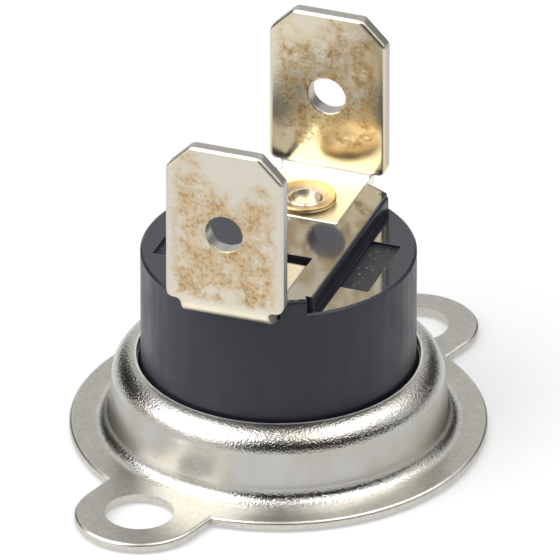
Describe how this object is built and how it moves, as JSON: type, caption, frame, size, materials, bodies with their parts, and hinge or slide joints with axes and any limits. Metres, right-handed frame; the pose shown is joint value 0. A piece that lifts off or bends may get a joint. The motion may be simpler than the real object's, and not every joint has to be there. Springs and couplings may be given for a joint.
{
  "type": "bimetal temperature switch",
  "caption": "Round snap-disc temperature switch with a loose eared mounting flange, a black moulded body and upright blade terminals riveted to its top.",
  "frame": {"origin": "centre of the sensing face, on the axis of the body", "axes": "+Z out of the sensing face towards the terminals, +X along the two ears of the flange"},
  "size_m": [0.0304, 0.0214, 0.0202],
  "materials": {
    "phenolic": "moulded black phenolic, satin gloss",
    "nickel_plate": "nickel-plated drawn steel",
    "cap_aluminium": "drawn aluminium",
    "disc_metal": "rolled bimetal",
    "guide_plastic": "moulded phenolic",
    "pin_ceramic": "fired white ceramic",
    "plated_brass": "tarnished plated brass",
    "rivet_brass": "bright brass",
    "strip_brass": "stamped brass",
    "leaf_bronze": "spring bronze",
    "contact_silver": "silver alloy"
  },
  "bodies": {
    "switch": {"body": "phenolic", "sensing_cap": "cap_aluminium", "bimetal_disc": "disc_metal", "pin_guide": "guide_plastic", "front_terminal": "plated_brass", "rear_terminal": "plated_brass", "front_rivet": "rivet_brass", "rear_rivet": "rivet_brass", "contact_anchor": "strip_brass", "fixed_contact_strip": "strip_brass", "fixed_contact": "contact_silver"},
    "flange": {"mounting_flange": "nickel_plate"},
    "pin": {"transfer_pin": "pin_ceramic"},
    "arm": {"contact_arm": "leaf_bronze", "moving_contact": "contact_silver"}
  },
  "joints": [
    {"name": "flange_turn", "type": "hinge", "parent": "switch", "child": "flange", "pos_m": [0, 0, 0], "axis": [0, 0, 1], "continuous": true},
    {"name": "pin_lift", "type": "slide", "parent": "switch", "child": "pin", "axis": [0, 0, 1], "range_m": [0, 0.00027], "deforming": ["bimetal_disc"]},
    {"name": "arm_lift", "type": "hinge", "parent": "switch", "child": "arm", "pos_m": [-0.00269, -0.00079, 0.00749], "axis": [0.2823, -0.9593, 0], "range_deg": [0, 5.6], "stiffness_Nm_per_rad": 0.004, "springref_deg": -5.73}
  ],
  "couplings": [
    {"joint": "arm_lift", "follows": "pin_lift", "rad_per_m": 357.14}
  ]
}
